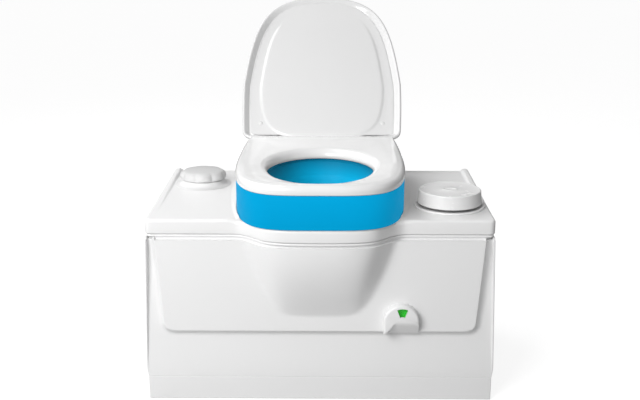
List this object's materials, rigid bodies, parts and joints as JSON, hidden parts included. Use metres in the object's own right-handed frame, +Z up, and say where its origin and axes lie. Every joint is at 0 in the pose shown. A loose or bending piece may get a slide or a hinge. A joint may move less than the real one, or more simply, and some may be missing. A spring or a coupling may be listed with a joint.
{
  "type": "cassette toilet",
  "caption": "Bench-type toilet with a raised seat collar, open lid, turn-and-press control knob, filler cap, level window and a removable waste cassette with a pivoting gate.",
  "frame": {"origin": "on the floor, under the middle of the bench footprint (without the nose at the front)", "axes": "+Z up, the front with the seat nose faces -Y, +X to the right as seen from the front"},
  "size_m": [0.73, 0.8182, 0.7896],
  "materials": {
    "white_shell": "gloss moulded",
    "seat_white": "high gloss",
    "riser_blue": "satin gloss",
    "knob_white": "gloss",
    "rubber_black": "matt",
    "wheel_rubber": "matt ribbed",
    "mechanism_grey": "moulded acetal",
    "hose_grey": "matt hose",
    "tank_grey": "blow-moulded",
    "trim_grey": "fine texture",
    "steel": "drawn",
    "float_foam": "closed-cell foam",
    "flag_green": "green and red print",
    "window_clear": "clear lens"
  },
  "bodies": {
    "root": {"bench_top": "white_shell", "edge_trim": "white_shell", "front_panel": "white_shell", "plinth": "white_shell", "side_panel_right": "white_shell", "side_panel_left": "white_shell", "rear_panel": "white_shell", "base_tray": "mechanism_grey", "seat_riser": "riser_blue", "hinge_block_right": "seat_white", "hinge_block_left": "seat_white", "hinge_pin_right": "steel", "hinge_pin_left": "steel", "bowl": "white_shell", "bowl_seal": "rubber_black", "flush_nozzle": "mechanism_grey", "flush_hose": "hose_grey", "flush_tank": "tank_grey", "flush_pump": "mechanism_grey", "filler_neck": "white_shell", "knob_base_ring": "white_shell", "gear_bracket": "mechanism_grey", "flush_switch": "mechanism_grey", "indicator_hood": "white_shell", "indicator_window": "window_clear"},
    "lid": {"lid": "seat_white", "lid_lug_right": "seat_white", "lid_lug_left": "seat_white", "lid_bumper_right": "seat_white", "lid_bumper_left": "seat_white"},
    "seat": {"seat": "seat_white", "seat_lug_right": "seat_white", "seat_lug_left": "seat_white", "seat_bumper_right": "rubber_black", "seat_bumper_left": "rubber_black"},
    "filler_cap_seal": {"cap_seal": "rubber_black"},
    "filler_cap": {"filler_cap": "knob_white"},
    "knob_drive": {"knob_shaft": "steel", "knob_gear": "mechanism_grey"},
    "control_knob": {"control_knob": "knob_white"},
    "drive_gear": {"drive_gear": "mechanism_grey", "drive_shaft": "steel"},
    "level_flag": {"level_flag": "flag_green"},
    "cassette": {"cassette_base": "tank_grey", "cassette_cover": "tank_grey", "valve_plate": "mechanism_grey", "lip_seal": "rubber_black", "wheel_axle": "steel"},
    "valve_blade": {"valve_blade": "mechanism_grey", "gate_hub": "mechanism_grey"},
    "float": {"float_arm": "steel", "float_ball": "float_foam"},
    "pour_spout": {"pour_spout": "tank_grey"},
    "spout_seal": {"spout_seal": "rubber_black"},
    "spout_cap": {"spout_cap": "trim_grey"},
    "vent_button": {"vent_button": "trim_grey"},
    "carry_handle": {"carry_handle": "trim_grey"},
    "pull_handle": {"pull_handle": "trim_grey"},
    "wheel_right": {"wheel_right": "wheel_rubber"},
    "wheel_left": {"wheel_left": "wheel_rubber"}
  },
  "joints": [
    {"name": "lid_hinge", "type": "hinge", "parent": "root", "child": "lid", "pos_m": [0, 0.192, 0.476], "axis": [-1, 0, 0], "range_deg": [-136, 0]},
    {"name": "seat_hinge", "type": "hinge", "parent": "root", "child": "seat", "pos_m": [0, 0.192, 0.476], "axis": [-1, 0, 0], "range_deg": [0, 86]},
    {"name": "knob_turn", "type": "hinge", "parent": "root", "child": "knob_drive", "pos_m": [0.274, -0.098, 0.222], "axis": [0, 0, 1], "range_deg": [0, 80]},
    {"name": "knob_press", "type": "slide", "parent": "knob_drive", "child": "control_knob", "axis": [0, 0, -1], "range_m": [0, 0.004], "stiffness_N_per_m": 1500, "springref_m": -0.002},
    {"name": "drive_turn", "type": "hinge", "parent": "root", "child": "drive_gear", "pos_m": [0.175, -0.098, 0.222], "axis": [0, 0, 1], "range_deg": [-40, 0]},
    {"name": "filler_cap_lift", "type": "slide", "parent": "root", "child": "filler_cap_seal", "axis": [0, 0, 1], "range_m": [0, 0.06]},
    {"name": "filler_cap_turn", "type": "hinge", "parent": "filler_cap_seal", "child": "filler_cap", "pos_m": [-0.272, 0.08, 0.411], "axis": [0, 0, 1], "range_deg": [0, 90]},
    {"name": "cassette_slide", "type": "slide", "parent": "root", "child": "cassette", "axis": [0, 1, 0], "range_m": [0, 0.42]},
    {"name": "blade_turn", "type": "hinge", "parent": "cassette", "child": "valve_blade", "pos_m": [0.175, -0.098, 0.1896], "axis": [0, 0, 1], "range_deg": [-40, 0]},
    {"name": "float_swing", "type": "hinge", "parent": "cassette", "child": "float", "pos_m": [-0.12, 0.1, 0.165], "axis": [-1, 0, 0], "range_deg": [0, 40]},
    {"name": "flag_turn", "type": "hinge", "parent": "root", "child": "level_flag", "pos_m": [0.168, -0.2163, 0.186], "axis": [0, 1, 0], "range_deg": [0, 180]},
    {"name": "spout_swing", "type": "hinge", "parent": "cassette", "child": "pour_spout", "pos_m": [0.165, 0.15, 0.186], "axis": [0, 0, -1], "range_deg": [0, 90]},
    {"name": "spout_cap_pull", "type": "slide", "parent": "pour_spout", "child": "spout_seal", "axis": [-1, 0, 0], "range_m": [0, 0.04]},
    {"name": "spout_cap_turn", "type": "hinge", "parent": "spout_seal", "child": "spout_cap", "pos_m": [0.05, 0.15, 0.2133], "axis": [-1, 0, 0], "range_deg": [0, 90]},
    {"name": "vent_press", "type": "slide", "parent": "cassette", "child": "vent_button", "axis": [0, 0, -1], "range_m": [0, 0.003], "stiffness_N_per_m": 600, "springref_m": -0.002},
    {"name": "carry_handle_swing", "type": "hinge", "parent": "cassette", "child": "carry_handle", "pos_m": [0, 0.2005, 0.15], "axis": [1, 0, 0], "range_deg": [0, 90]},
    {"name": "pull_handle_slide", "type": "slide", "parent": "cassette", "child": "pull_handle", "axis": [0, 1, 0], "range_m": [0, 0.2]},
    {"name": "wheel_right_spin", "type": "hinge", "parent": "cassette", "child": "wheel_right", "pos_m": [0.188, -0.1425, 0.0465], "axis": [1, 0, 0], "continuous": true},
    {"name": "wheel_left_spin", "type": "hinge", "parent": "cassette", "child": "wheel_left", "pos_m": [-0.188, -0.1425, 0.0465], "axis": [1, 0, 0], "continuous": true}
  ],
  "couplings": [
    {"joint": "drive_turn", "follows": "knob_turn", "ratio": -0.5},
    {"joint": "blade_turn", "follows": "knob_turn", "ratio": -0.5},
    {"joint": "flag_turn", "follows": "float_swing", "ratio": 4.5}
  ]
}
